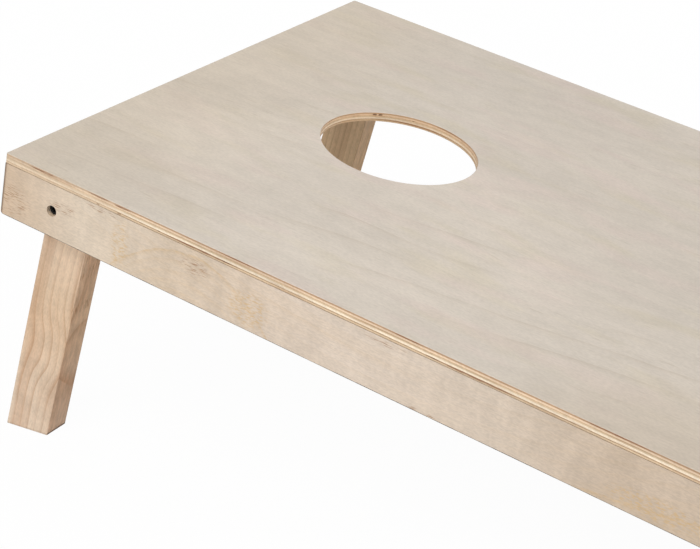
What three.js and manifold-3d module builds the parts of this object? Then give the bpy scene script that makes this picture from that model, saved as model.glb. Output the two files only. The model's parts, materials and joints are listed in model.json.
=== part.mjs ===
// A regulation cornhole board with folding legs, in millimetres and degrees, +Z up, standing on Z = 0.
//
// A plywood deck with a round hole lies on a frame of two side rails, two end rails and a centre brace.
// Each leg turns on its own socket head bolt. It folds flat inside the frame, under the deck, and when it
// is open it leans back against the high end rail, which takes the load.
// The finished group's origin is on the floor, at the middle of the object's footprint.
//
// The board is modelled in its own frame and then tilted onto its legs: x runs down the deck from the
// high end to the low end, y runs across it, and z = 0 is the deck's upper face.
// Left and right are those of a player who stands beyond the low end: left is -y.
import * as THREE from "three";
import { mergeVertices } from "three/addons/utils/BufferGeometryUtils.js";
import Module from "manifold-3d";

const wasm = await Module();
wasm.setup();

// ---- Driving dimensions ----

const INCH = 25.4;
const BOARD_LENGTH = 48 * INCH;
const BOARD_WIDTH = 24 * INCH;
const HOLE_RADIUS = 3 * INCH;
const HOLE_FROM_HIGH_END = 9 * INCH;
const DECK_THICKNESS = 9.5;

const RAIL_HEIGHT = 50;
const RAIL_THICKNESS = 29;
const RAIL_CORNER_RADIUS = 3;
const JOINT_GAP = 0.3; // between pieces that are glued or screwed face to face

const PIVOT_FROM_HIGH_END = 55;
const LEG_WIDTH = 47;
const LEG_THICKNESS = 28;
const LEG_REACH = 258; // from the pivot to the middle of the foot

const BOLT_RADIUS = 3;
const BOLT_LENGTH = 60;
const BOLT_HEAD_RADIUS = 5;
const BOLT_HEAD_HEIGHT = 6;
const BOLT_HEAD_RECESS = 4; // from the rail's outer face to the top of the head
const BOLT_SOCKET_FLATS = 5;
const BOLT_SOCKET_DEPTH = 3;
const BOLT_HOLE_RADIUS = 3.3;
const COUNTERBORE_RADIUS = 5.2;
const WASHER_RADIUS = 9;
const WASHER_THICKNESS = 1.6;
const NUT_FLATS = 10;
const NUT_HEX_HEIGHT = 4.6;
const NUT_COLLAR_RADIUS = 4.4;
const NUT_COLLAR_HEIGHT = 1.4;
const HARDWARE_GAP = 0.2; // beside each washer, and round each bolt

const SCREW_RADIUS = 1.8;
const SCREW_HEAD_RADIUS = 4;
const SCREW_HEAD_HEIGHT = 2.6;
const SCREW_POINT_LENGTH = 4;
const POCKET_RADIUS = 4.7;
const POCKET_LENGTH = 70; // the drill's reach, which is more than enough to leave the wood
const POCKET_ANGLE = 15; // between a pocket hole and the face that it is drilled in
const PILOT_RADIUS = 2.2;
const PILOT_END_GAP = 0.6;

const FRAME_SCREW_LENGTH = 38;
const FRAME_SCREW_SHOULDER = 26; // from under a screw's head to the joint that it crosses
const UPPER_SCREW_DEPTH = 14; // below the top of the rails
const LOWER_SCREW_DEPTH = 36;

const DECK_SCREW_LENGTH = 20;
const DECK_SCREW_SHOULDER = 14.5;
const DECK_SCREW_INSET = 8.2; // from a rail's inner face to where the screw enters the deck
const SIDE_RAIL_DECK_SCREWS = [120, 420, 800, 1100]; // from the high end
const CROSS_MEMBER_DECK_SCREW_Y = 160;

const ROUND_SEGMENTS = 20;
const SMALL_ROUND_SEGMENTS = 12;
const CORNER_SEGMENTS = 6;
const LEG_TOP_SEGMENTS = 24;
const HOLE_SEGMENTS = 96;

// ---- Places worked out from them ----

const railTop = -DECK_THICKNESS - JOINT_GAP;
const railBottom = railTop - RAIL_HEIGHT;
const sideRailMiddle = (BOARD_WIDTH - RAIL_THICKNESS) / 2;
const endRailLength = BOARD_WIDTH - 2 * RAIL_THICKNESS - 2 * JOINT_GAP;
const pivotHeight = railTop - RAIL_HEIGHT / 2;
const pocketAngle = THREE.MathUtils.degToRad(POCKET_ANGLE);

// An open leg leans back until its back face meets the lower inner edge of the high end rail.
function openLegLean() {
  const back = PIVOT_FROM_HIGH_END - RAIL_THICKNESS;
  const down = RAIL_HEIGHT / 2;
  const reach = LEG_WIDTH / 2 + JOINT_GAP;
  return Math.acos(reach / Math.hypot(back, down)) - Math.atan2(down, back);
}

const lean = openLegLean();

// The deck's slope puts the middle of the feet and the rounded low corner of the rails on one floor.
function standingTilt() {
  const footX = PIVOT_FROM_HIGH_END - LEG_REACH * Math.sin(lean);
  const footZ = pivotHeight - LEG_REACH * Math.cos(lean);
  const run = BOARD_LENGTH - RAIL_CORNER_RADIUS - footX;
  const drop = railBottom + RAIL_CORNER_RADIUS - footZ;
  return Math.acos(RAIL_CORNER_RADIUS / Math.hypot(run, drop)) - Math.atan2(run, drop);
}

const tilt = standingTilt();

const SIDES = [
  ["left", -1],
  ["right", 1],
];

// Each cross member with the x of its drilled inner face, and the way that face looks along x.
const CROSS_MEMBERS = [
  ["high_end_rail", RAIL_THICKNESS, 1],
  ["centre_brace", (BOARD_LENGTH - RAIL_THICKNESS) / 2, -1],
  ["low_end_rail", BOARD_LENGTH - RAIL_THICKNESS, -1],
];

// ---- Materials ----

function finish(color, roughness, metalness = 0) {
  return new THREE.MeshStandardMaterial({ color, roughness, metalness });
}

const plywood = finish(0xd3c8b8, 0.55);
const framePine = finish(0xd6c9b5, 0.6);
const legPine = finish(0xd8bd9c, 0.62);
const blackSteel = finish(0x141416, 0.4, 0.7);
const zincSteel = finish(0xb4b6b8, 0.35, 0.9);

// ---- Tools for solids ----

function solidOf(geometry) {
  const bare = new THREE.BufferGeometry();
  bare.setAttribute("position", geometry.getAttribute("position"));
  bare.setIndex(geometry.getIndex());
  const merged = mergeVertices(bare, 1e-4);
  return new wasm.Manifold(
    new wasm.Mesh({
      numProp: 3,
      vertProperties: merged.getAttribute("position").array,
      triVerts: new Uint32Array(merged.getIndex().array),
    }),
  );
}

function geometryOf(solid) {
  const mesh = solid.getMesh();
  const geometry = new THREE.BufferGeometry();
  geometry.setAttribute("position", new THREE.BufferAttribute(mesh.vertProperties, 3));
  geometry.setIndex(new THREE.BufferAttribute(mesh.triVerts, 1));
  geometry.computeVertexNormals();
  return geometry;
}

function piece(name, geometry, material) {
  const mesh = new THREE.Mesh(geometry, material);
  mesh.name = name;
  return mesh;
}

// Takes tools, which are geometries in the board's frame, out of a piece that is placed in that frame.
function cutAway(mesh, tools) {
  mesh.updateMatrix();
  const toPiece = mesh.matrix.clone().invert();
  let solid = solidOf(mesh.geometry);
  for (const tool of tools) {
    solid = solid.subtract(solidOf(tool.clone().applyMatrix4(toPiece)));
  }
  mesh.geometry = geometryOf(solid);
}

// A closed profile in x and z, made into a slab that lies evenly about y = 0.
function slab(profile, thickness, curveSegments) {
  const geometry = new THREE.ExtrudeGeometry(profile, {
    depth: thickness,
    bevelEnabled: false,
    curveSegments,
  });
  return geometry.translate(0, 0, -thickness / 2).rotateX(Math.PI / 2);
}

// A solid cylinder along +z, from z = from to z = to.
function rod(radius, from, to, segments) {
  const geometry = new THREE.CylinderGeometry(radius, radius, to - from, segments);
  return geometry.rotateX(Math.PI / 2).translate(0, 0, (from + to) / 2);
}

function hexPrism(flats, from, to) {
  return rod(flats / Math.sqrt(3), from, to, 6);
}

// A profile of [radius, height] points turned round the z axis.
function turned(points, segments) {
  const outline = points.map(([radius, height]) => new THREE.Vector2(radius, height));
  return new THREE.LatheGeometry(outline, segments).rotateX(Math.PI / 2);
}

// Turns a geometry's +z to a direction and moves its origin to a place.
function aimed(geometry, place, direction) {
  const turn = new THREE.Quaternion().setFromUnitVectors(new THREE.Vector3(0, 0, 1), direction);
  return geometry.applyQuaternion(turn).translate(place.x, place.y, place.z);
}

// ---- Deck and frame ----

function makeDeck() {
  const deck = piece(
    "deck",
    new THREE.BoxGeometry(BOARD_LENGTH, BOARD_WIDTH, DECK_THICKNESS),
    plywood,
  );
  deck.position.set(BOARD_LENGTH / 2, 0, -DECK_THICKNESS / 2);
  const hole = rod(HOLE_RADIUS, -DECK_THICKNESS - 1, 1, HOLE_SEGMENTS);
  cutAway(deck, [hole.translate(HOLE_FROM_HIGH_END, 0, 0)]);
  return deck;
}

// The outline of a rail seen from the side. Its top is at z = 0, and the low corners named are rounded.
function railProfile(length, roundedStart) {
  const r = RAIL_CORNER_RADIUS;
  const shape = new THREE.Shape();
  shape.moveTo(0, 0);
  if (roundedStart) {
    shape.lineTo(0, -RAIL_HEIGHT + r);
    shape.absarc(r, -RAIL_HEIGHT + r, r, Math.PI, 1.5 * Math.PI, false);
  } else {
    shape.lineTo(0, -RAIL_HEIGHT);
  }
  shape.lineTo(length - r, -RAIL_HEIGHT);
  shape.absarc(length - r, -RAIL_HEIGHT + r, r, -0.5 * Math.PI, 0, false);
  shape.lineTo(length, 0);
  return shape;
}

function makeSideRail(side, sign) {
  const geometry = slab(railProfile(BOARD_LENGTH, true), RAIL_THICKNESS, CORNER_SEGMENTS);
  const rail = piece(`${side}_side_rail`, geometry, framePine);
  rail.position.set(0, sign * sideRailMiddle, railTop);
  return rail;
}

// The end rails fit between the side rails. The rounded corner faces out.
function makeEndRail(end) {
  const geometry = slab(railProfile(RAIL_THICKNESS, false), endRailLength, CORNER_SEGMENTS);
  const rail = piece(`${end}_end_rail`, geometry, framePine);
  rail.rotation.z = end === "high" ? Math.PI : 0;
  rail.position.set(end === "high" ? RAIL_THICKNESS : BOARD_LENGTH - RAIL_THICKNESS, 0, railTop);
  return rail;
}

function makeCentreBrace() {
  const geometry = new THREE.BoxGeometry(RAIL_THICKNESS, endRailLength, RAIL_HEIGHT);
  const brace = piece("centre_brace", geometry, framePine);
  brace.position.set(BOARD_LENGTH / 2, 0, railTop - RAIL_HEIGHT / 2);
  return brace;
}

// ---- Legs ----

// The outline of a leg about its pivot, with z up the leg and x towards the low end of the board.
// Its round top swings clear of the deck, and its foot is sawn flat to the floor.
function legProfile() {
  const half = LEG_WIDTH / 2;
  const footSlope = Math.tan(lean + tilt);
  const shape = new THREE.Shape();
  shape.moveTo(-half, -LEG_REACH - half * footSlope);
  shape.lineTo(half, -LEG_REACH + half * footSlope);
  shape.absarc(0, 0, half, 0, Math.PI, false);
  return shape;
}

function makeLeg(side, sign) {
  const leg = piece(`${side}_leg`, slab(legProfile(), LEG_THICKNESS, LEG_TOP_SEGMENTS), legPine);
  const inset = RAIL_THICKNESS + WASHER_THICKNESS + 2 * HARDWARE_GAP + LEG_THICKNESS / 2;
  leg.position.set(PIVOT_FROM_HIGH_END, sign * (BOARD_WIDTH / 2 - inset), pivotHeight);
  leg.rotation.y = lean;
  const pivot = new THREE.Vector3(PIVOT_FROM_HIGH_END, 0, pivotHeight);
  const bore = rod(BOLT_HOLE_RADIUS, -BOARD_WIDTH, BOARD_WIDTH, ROUND_SEGMENTS);
  cutAway(leg, [aimed(bore, pivot, new THREE.Vector3(0, 1, 0))]);
  return leg;
}

// ---- Pivot hardware: each piece lies along +z, which points from the rail's outer face inwards ----

function boltGeometry() {
  const headTop = BOLT_HEAD_RECESS;
  const headBase = headTop + BOLT_HEAD_HEIGHT;
  const end = headBase + BOLT_LENGTH;
  const body = turned(
    [
      [0, headTop],
      [BOLT_HEAD_RADIUS - 0.5, headTop],
      [BOLT_HEAD_RADIUS, headTop + 0.5],
      [BOLT_HEAD_RADIUS, headBase],
      [BOLT_RADIUS, headBase],
      [BOLT_RADIUS, end - 0.8],
      [BOLT_RADIUS - 0.8, end],
      [0, end],
    ],
    ROUND_SEGMENTS,
  );
  const socket = hexPrism(BOLT_SOCKET_FLATS, headTop - 1, headTop + BOLT_SOCKET_DEPTH);
  return geometryOf(solidOf(body).subtract(solidOf(socket)));
}

function washerGeometry() {
  const ring = rod(WASHER_RADIUS, 0, WASHER_THICKNESS, ROUND_SEGMENTS);
  const bore = rod(BOLT_RADIUS + HARDWARE_GAP, -1, WASHER_THICKNESS + 1, ROUND_SEGMENTS);
  return geometryOf(solidOf(ring).subtract(solidOf(bore)));
}

function nutGeometry() {
  const height = NUT_HEX_HEIGHT + NUT_COLLAR_HEIGHT;
  const hex = hexPrism(NUT_FLATS, 0, NUT_HEX_HEIGHT);
  const collar = rod(NUT_COLLAR_RADIUS, NUT_HEX_HEIGHT - 1, height, ROUND_SEGMENTS);
  const bore = rod(BOLT_RADIUS + HARDWARE_GAP, -1, height + 1, ROUND_SEGMENTS);
  return geometryOf(solidOf(hex).add(solidOf(collar)).subtract(solidOf(bore)));
}

function makePivotHardware(side, sign) {
  const spacerDepth = RAIL_THICKNESS + HARDWARE_GAP;
  const nutWasherDepth = spacerDepth + WASHER_THICKNESS + HARDWARE_GAP + LEG_THICKNESS + HARDWARE_GAP;
  const nutDepth = nutWasherDepth + WASHER_THICKNESS + HARDWARE_GAP;
  const pieces = [
    [piece(`${side}_pivot_bolt`, boltGeometry(), blackSteel), 0],
    [piece(`${side}_spacer_washer`, washerGeometry(), zincSteel), spacerDepth],
    [piece(`${side}_nut_washer`, washerGeometry(), zincSteel), nutWasherDepth],
    [piece(`${side}_lock_nut`, nutGeometry(), zincSteel), nutDepth],
  ];
  for (const [mesh, depth] of pieces) {
    mesh.rotation.x = (sign * Math.PI) / 2;
    mesh.position.set(PIVOT_FROM_HIGH_END, sign * (BOARD_WIDTH / 2 - depth), pivotHeight);
  }
  return pieces.map(([mesh]) => mesh);
}

// The counterbored hole that the pivot bolts pass through, in both side rails at once.
function pivotHoleTools() {
  const pivot = new THREE.Vector3(PIVOT_FROM_HIGH_END, 0, pivotHeight);
  const across = new THREE.Vector3(0, 1, 0);
  const depth = BOLT_HEAD_RECESS + BOLT_HEAD_HEIGHT + HARDWARE_GAP;
  const face = BOARD_WIDTH / 2;
  const through = rod(BOLT_HOLE_RADIUS, -face - 1, face + 1, ROUND_SEGMENTS);
  const left = rod(COUNTERBORE_RADIUS, -face - 1, -face + depth, ROUND_SEGMENTS);
  const right = rod(COUNTERBORE_RADIUS, face - depth, face + 1, ROUND_SEGMENTS);
  return [through, left, right].map((tool) => aimed(tool, pivot, across));
}

// ---- Pocket screws ----

// A screw along +z whose head sits at z = -shoulder, so that z = 0 is the joint that it crosses.
function screwGeometry(length, shoulder) {
  const point = length - shoulder;
  return turned(
    [
      [0, -shoulder - SCREW_HEAD_HEIGHT],
      [SCREW_HEAD_RADIUS * 0.65, -shoulder - SCREW_HEAD_HEIGHT],
      [SCREW_HEAD_RADIUS, -shoulder - SCREW_HEAD_HEIGHT * 0.4],
      [SCREW_HEAD_RADIUS, -shoulder],
      [SCREW_RADIUS, -shoulder],
      [SCREW_RADIUS, point - SCREW_POINT_LENGTH],
      [0, point],
    ],
    SMALL_ROUND_SEGMENTS,
  );
}

// The pocket that the head lies in, which runs out through the inner face.
function pocketTool(shoulder) {
  const seat = -shoulder + HARDWARE_GAP / 2;
  return rod(POCKET_RADIUS, seat - POCKET_LENGTH, seat, SMALL_ROUND_SEGMENTS);
}

// The pilot hole that runs on from the pocket into the piece beyond the joint.
function pilotTool(length, shoulder) {
  const end = length - shoulder + PILOT_END_GAP;
  return rod(PILOT_RADIUS, -shoulder - 1, end, SMALL_ROUND_SEGMENTS);
}

// A screw is planned by the piece it is driven through, the piece it holds, the place where it crosses
// between them, and its direction, which slopes away from the inner face that its pocket is drilled in.
function plannedScrew(name, host, target, place, onward, innerFacing, length, shoulder) {
  const direction = onward.clone().multiplyScalar(Math.cos(pocketAngle));
  direction.addScaledVector(innerFacing, -Math.sin(pocketAngle));
  return { name, host, target, place, direction, length, shoulder };
}

// An upper and a lower screw hold each end of each cross member to a side rail.
function frameScrews() {
  const plan = [];
  for (const [member, faceX, facing] of CROSS_MEMBERS) {
    const x = faceX - (facing * RAIL_THICKNESS) / 2;
    for (const [side, sign] of SIDES) {
      const y = sign * (BOARD_WIDTH / 2 - RAIL_THICKNESS);
      for (const [level, depth] of [["upper", UPPER_SCREW_DEPTH], ["lower", LOWER_SCREW_DEPTH]]) {
        const name = `${member}_${side}_${level}_screw`;
        const place = new THREE.Vector3(x, y, railTop - depth);
        const onward = new THREE.Vector3(0, sign, 0);
        const innerFacing = new THREE.Vector3(facing, 0, 0);
        plan.push(
          plannedScrew(
            name,
            member,
            `${side}_side_rail`,
            place,
            onward,
            innerFacing,
            FRAME_SCREW_LENGTH,
            FRAME_SCREW_SHOULDER,
          ),
        );
      }
    }
  }
  return plan;
}

// Screws up through the frame hold the deck without a mark on its face.
function deckScrews() {
  const up = new THREE.Vector3(0, 0, 1);
  const deckScrew = (name, host, x, y, innerFacing) => {
    const place = new THREE.Vector3(x, y, railTop).addScaledVector(innerFacing, -DECK_SCREW_INSET);
    const [length, shoulder] = [DECK_SCREW_LENGTH, DECK_SCREW_SHOULDER];
    return plannedScrew(name, host, "deck", place, up, innerFacing, length, shoulder);
  };
  const plan = [];
  for (const [side, sign] of SIDES) {
    const y = sign * (BOARD_WIDTH / 2 - RAIL_THICKNESS);
    const inwards = new THREE.Vector3(0, -sign, 0);
    SIDE_RAIL_DECK_SCREWS.forEach((x, i) => {
      plan.push(deckScrew(`deck_screw_${side}_${i + 1}`, `${side}_side_rail`, x, y, inwards));
    });
    for (const [member, faceX, facing] of CROSS_MEMBERS) {
      const name = `deck_screw_${member}_${side}`;
      const innerFacing = new THREE.Vector3(facing, 0, 0);
      plan.push(deckScrew(name, member, faceX, sign * CROSS_MEMBER_DECK_SCREW_Y, innerFacing));
    }
  }
  return plan;
}

function makeScrew({ name, place, direction, length, shoulder }) {
  const screw = piece(name, screwGeometry(length, shoulder), zincSteel);
  screw.position.copy(place);
  screw.quaternion.setFromUnitVectors(new THREE.Vector3(0, 0, 1), direction);
  return screw;
}

// ---- Assembly ----

function makeBoard() {
  const board = new THREE.Group();
  board.add(makeDeck(), makeEndRail("high"), makeEndRail("low"), makeCentreBrace());
  for (const [side, sign] of SIDES) {
    const rail = makeSideRail(side, sign);
    cutAway(rail, pivotHoleTools());
    board.add(rail, makeLeg(side, sign), ...makePivotHardware(side, sign));
  }
  for (const screw of [...frameScrews(), ...deckScrews()]) {
    const pocket = aimed(pocketTool(screw.shoulder), screw.place, screw.direction);
    const pilot = aimed(pilotTool(screw.length, screw.shoulder), screw.place, screw.direction);
    cutAway(board.getObjectByName(screw.host), [pocket, pilot]);
    cutAway(board.getObjectByName(screw.target), [pilot]);
    board.add(makeScrew(screw));
  }
  return board;
}

// Tilts the board onto its legs and puts the origin on the floor, under the middle of its box.
function standOnFloor(board) {
  board.rotation.y = tilt;
  board.updateMatrixWorld(true);
  const box = new THREE.Box3().setFromObject(board, true);
  board.position.set(-(box.min.x + box.max.x) / 2, 0, -box.min.z);
}

const cornholeBoard = new THREE.Group();
const board = makeBoard();
standOnFloor(board);
cornholeBoard.add(board);

export default cornholeBoard;
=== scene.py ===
"""The looks of a cornhole board with folding legs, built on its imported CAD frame. Lengths are in metres,
except where millimetres are named.

Each wooden piece is drawn in its own frame, so that its grain follows the wood. In the board's frame x runs
down the deck from its high end, y across it, and z = 0 is the playing face. A leg's frame has its origin at
the pivot and z up the leg. Turned pieces, such as screws, are drawn along z from the top of their heads.
"""
import json
import math

import bmesh
import bpy
import numpy
from mathutils import Matrix, Vector


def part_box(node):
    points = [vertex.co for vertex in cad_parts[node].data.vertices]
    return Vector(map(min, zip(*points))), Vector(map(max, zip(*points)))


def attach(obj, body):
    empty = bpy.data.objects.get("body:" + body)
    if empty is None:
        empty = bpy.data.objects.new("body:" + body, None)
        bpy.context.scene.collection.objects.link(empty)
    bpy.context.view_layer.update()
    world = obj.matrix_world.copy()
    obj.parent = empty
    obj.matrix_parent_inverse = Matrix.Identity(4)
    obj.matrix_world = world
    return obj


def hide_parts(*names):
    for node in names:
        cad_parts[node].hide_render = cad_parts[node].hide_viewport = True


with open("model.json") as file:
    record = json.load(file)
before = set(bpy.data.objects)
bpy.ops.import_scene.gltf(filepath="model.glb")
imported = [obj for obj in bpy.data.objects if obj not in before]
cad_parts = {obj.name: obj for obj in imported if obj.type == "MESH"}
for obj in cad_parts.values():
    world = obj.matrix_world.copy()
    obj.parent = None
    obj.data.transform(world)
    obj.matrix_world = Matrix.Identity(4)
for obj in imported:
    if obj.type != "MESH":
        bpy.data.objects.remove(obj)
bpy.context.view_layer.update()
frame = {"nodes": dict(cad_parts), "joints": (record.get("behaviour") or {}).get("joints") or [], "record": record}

MM = 0.001
SIDES = ("left", "right")
CROSS_MEMBERS = ("high_end_rail", "centre_brace", "low_end_rail")

# ---- Frames of reference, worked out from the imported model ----


def deck_slope():
    face = next(m for m in frame["record"]["mounts"] if m["name"] == "deck_face")
    return math.atan2(face["axis"][0], face["axis"][2])


def deck_size(slope):
    """The deck's length and thickness, from the level box round the sloping panel."""
    low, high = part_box("deck")
    span, rise = high.x - low.x, high.z - low.z
    c, s = math.cos(slope), math.sin(slope)
    return (span * c - rise * s) / (c * c - s * s), (rise * c - span * s) / (c * c - s * s)


SLOPE = deck_slope()
DECK_LENGTH, DECK_THICKNESS = deck_size(SLOPE)
DECK_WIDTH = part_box("deck")[1].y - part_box("deck")[0].y
HIGH_EDGE = Vector((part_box("deck")[0].x + DECK_THICKNESS * math.sin(SLOPE), 0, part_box("deck")[1].z))
BOARD = Matrix.Translation(HIGH_EDGE) @ Matrix.Rotation(SLOPE, 4, "Y")


def points_in(node, matrix):
    """The points of a CAD node, measured in a frame."""
    back = matrix.inverted()
    return [back @ v.co for v in frame["nodes"][node].data.vertices]


def box_in(node, matrix):
    points = points_in(node, matrix)
    low = Vector([min(p[i] for p in points) for i in range(3)])
    high = Vector([max(p[i] for p in points) for i in range(3)])
    return low, high


def bag_hole():
    """The hole's place down the deck and its radius, from the deck's face points inside its outer edges."""
    edge = 5 * MM
    rim = [
        p.x
        for p in points_in("deck", BOARD)
        if edge < p.x < DECK_LENGTH - edge and abs(p.y) < DECK_WIDTH / 2 - edge and p.z > -edge / 10
    ]
    return (min(rim) + max(rim)) / 2, (max(rim) - min(rim)) / 2


HOLE_X, HOLE_RADIUS = bag_hole()


def pivot(side):
    return next(j for j in frame["joints"] if j["name"] == f"{side}_leg_fold")


def leg_frame(side):
    """A leg folds flat when it has turned through a right angle and the lean that it stands at."""
    joint = pivot(side)
    lean = math.radians(joint["range_deg"][1] - 90)
    return Matrix.Translation(joint["pos_m"]) @ Matrix.Rotation(SLOPE + lean, 4, "Y")


def upright(place, along):
    """A frame at a place, with its z along a direction."""
    return Matrix.Translation(place) @ along.to_track_quat("Z", "Y").to_matrix().to_4x4()


def pivot_frame(node, side, sign):
    """A frame for a piece on a leg's bolt: z points inwards, from the piece's outer end."""
    low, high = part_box(node)
    centre = pivot(side)["pos_m"]
    outer = low.y if sign < 0 else high.y
    return upright(Vector((centre[0], outer, centre[2])), Vector((0, -sign, 0)))


def screw_frame(node):
    """A frame for a screw, found from the longest way through it: z points from its head to its point."""
    points = numpy.array([tuple(v.co) for v in frame["nodes"][node].data.vertices])
    points = numpy.unique(points.round(6), axis=0)
    centre = points.mean(axis=0)
    along = numpy.linalg.eigh(numpy.cov((points - centre).T))[1][:, -1]
    reach = (points - centre) @ along
    spread = numpy.linalg.norm(points - centre - numpy.outer(reach, along), axis=1)
    if reach[spread.argmax()] > 0:
        along, reach = -along, -reach
    return upright(Vector(centre + along * reach.min()), Vector(along)), float(reach.max() - reach.min())


# ---- Shader graphs ----


class Graph:
    """A new material, with short calls that add nodes to it.

    A value is a number or another node's output."""

    def __init__(self, name):
        self.material = bpy.data.materials.new(name)
        self.material.use_nodes = True
        self.tree = self.material.node_tree
        self.shader = self.tree.nodes["Principled BSDF"]
        self.position = self.attribute("place", "Vector")
        self.facing = self.attribute("facing", "Vector")

    def attribute(self, name, output="Fac"):
        """A value stored on the mesh: place is a point in the piece's own frame, and facing its normal."""
        return self.add("ShaderNodeAttribute", {}, attribute_name=name).outputs[output]

    def add(self, kind, inputs, **settings):
        node = self.tree.nodes.new(kind)
        for key, value in settings.items():
            setattr(node, key, value)
        for key, value in inputs.items():
            self.put(node.inputs[key], value)
        return node

    def put(self, socket, value):
        if isinstance(value, bpy.types.NodeSocket):
            self.tree.links.new(value, socket)
        else:
            socket.default_value = value

    def math(self, operation, a, b=0.0, c=0.0):
        return self.add("ShaderNodeMath", {0: a, 1: b, 2: c}, operation=operation).outputs[0]

    def product(self, *factors):
        total = factors[0]
        for factor in factors[1:]:
            total = self.math("MULTIPLY", total, factor)
        return total

    def vector(self, x, y, z):
        return self.add("ShaderNodeCombineXYZ", {0: x, 1: y, 2: z}).outputs[0]

    def parts(self, vector):
        return self.add("ShaderNodeSeparateXYZ", {0: vector}).outputs

    def noise(self, vector, per_metre, detail=2.0, shift=0.0):
        """Smooth noise from 0 to 1, with its frequency along x, y and z."""
        place = {"Vector": vector, "Scale": per_metre, "Location": (shift, shift, shift)}
        mapped = self.add("ShaderNodeMapping", place).outputs[0]
        return self.add("ShaderNodeTexNoise", {"Vector": mapped, "Scale": 1.0, "Detail": detail}).outputs[0]

    def sway(self, vector, per_metre, size, shift=0.0):
        """Noise from -size to size."""
        centred = self.math("SUBTRACT", self.noise(vector, per_metre, 2.0, shift), 0.5)
        return self.math("MULTIPLY", centred, 2 * size)

    def band(self, value, low, high, to_low=0.0, to_high=1.0):
        """The value's place between low and high, eased and clamped, from to_low to to_high."""
        inputs = {0: value, 1: low, 2: high, 3: to_low, 4: to_high}
        return self.add("ShaderNodeMapRange", inputs, interpolation_type="SMOOTHSTEP").outputs[0]

    def ramp(self, value, stops):
        node = self.add("ShaderNodeValToRGB", {0: value})
        elements = node.color_ramp.elements
        for index, (place, colour) in enumerate(stops):
            element = elements[index] if index < 2 else elements.new(place)
            element.position = place
            element.color = (*colour, 1.0)
        return node.outputs[0]

    def mix(self, amount, a, b, blend="MIX"):
        node = self.add("ShaderNodeMix", {}, data_type="RGBA", blend_type=blend)
        self.put(node.inputs[0], amount)
        for socket, value in ((node.inputs[6], a), (node.inputs[7], b)):
            self.put(socket, (*value, 1.0) if isinstance(value, tuple) else value)
        return node.outputs[2]

    def shade(self, colour, factor):
        """The colour, made darker or lighter by a factor."""
        return self.mix(1.0, colour, self.vector(factor, factor, factor), "MULTIPLY")

    def looks_along(self, axis):
        """1 on faces that look along an axis of the piece's own frame, either way, and 0 on others."""
        return self.band(self.math("ABSOLUTE", self.parts(self.facing)[axis]), 0.6, 0.95)

    def finish(self, colour, roughness, height, depth):
        """Connects the values to the shader. A height of 1 is a bump that is depth metres high."""
        self.put(self.shader.inputs["Base Color"], colour)
        self.put(self.shader.inputs["Roughness"], roughness)
        bump = self.add("ShaderNodeBump", {"Height": height, "Distance": depth, "Strength": 1.0})
        self.put(self.shader.inputs["Normal"], bump.outputs[0])
        return self.material


def srgb(red, green, blue):
    """A colour given in the usual 0 to 255, as linear light."""
    channels = [c / 255 for c in (red, green, blue)]
    return tuple(c / 12.92 if c <= 0.04045 else ((c + 0.055) / 1.055) ** 2.4 for c in channels)


# ---- Wood ----

DECK_BASE = srgb(202, 192, 180)
DECK_PINK = srgb(205, 190, 180)
DECK_STRAW = srgb(198, 187, 166)
DECK_WARM = srgb(204, 190, 171)
DECK_TAN = srgb(195, 182, 166)
GROWTH_LINE = srgb(164, 145, 122)
WISP = srgb(160, 142, 120)

SANDED_PLY = srgb(218, 193, 164)
ROUTED_PLY = srgb(212, 164, 112)
PLY_STAIN = srgb(158, 114, 78)
TORN_PLY = srgb(136, 88, 54)
# painted shade inside the plies' voids
VOID_SHADE_COLOUR = srgb(118, 74, 50)

OPEN_PORE = srgb(156, 112, 76)
# painted shade for the dark line along rounded edges
EDGE_SHADE_COLOUR = srgb(60, 45, 34)
# the colour that a piece darkens to close to its end plane
END_DARK_COLOUR = srgb(104, 78, 58)

# Each ply's lower edge, as a share of the deck's thickness from its face, and its colour. The two thin ones
# inside are glue lines.
PLIES = (
    (0.19, srgb(184, 148, 115)),
    (0.36, srgb(232, 205, 175)),
    (0.42, srgb(198, 166, 130)),
    (0.54, srgb(214, 190, 158)),
    (0.74, srgb(246, 229, 204)),
    (0.82, srgb(174, 138, 103)),
    (0.95, srgb(218, 194, 162)),
    (1.00, srgb(186, 154, 122)),
)
# Each reddish streak in a left or right edge: its middle, down the deck and in shares of the deck's
# thickness, and its half sizes.
EDGE_STREAKS = (
    (0.042, 0.19, 0.018, 0.12),
    (0.102, 0.14, 0.014, 0.10),
    (0.127, 0.20, 0.010, 0.10),
    (0.208, 0.80, 0.046, 0.11),
    (0.245, 0.12, 0.022, 0.08),
    (0.405, 0.12, 0.018, 0.08),
    (0.468, 0.80, 0.046, 0.12),
    (0.585, 0.12, 0.034, 0.09),
    (0.730, 0.79, 0.060, 0.09),
    (0.960, 0.14, 0.040, 0.10),
)

ARCH_SPACING = 9.5 * MM
GROWTH_SPACING = 38 * MM


def fibres(g, grain, shift=0.0):
    """Fine streaks along the grain, from 0 to 1."""
    coarse = g.noise(grain, (9, 260, 260), 2.0, shift)
    fine = g.noise(grain, (40, 1300, 1300), 2.0, shift + 3)
    return g.math("ADD", g.product(coarse, 0.5), g.product(fine, 0.5))


def within(g, along, across, spot):
    """How far inside a soft oval spot a place is, from 0 to 1. A spot is its centre and half sizes."""
    centre_along, centre_across, half_along, half_across = spot
    a = g.math("DIVIDE", g.math("SUBTRACT", along, centre_along), half_along)
    b = g.math("DIVIDE", g.math("SUBTRACT", across, centre_across), half_across)
    return g.band(g.math("ADD", g.product(a, a), g.product(b, b)), 1.0, 0.2)


def within_any(g, along, across, spots):
    deepest = 0.0
    for spot in spots:
        deepest = g.math("MAXIMUM", deepest, within(g, along, across, spot))
    return deepest


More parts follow.
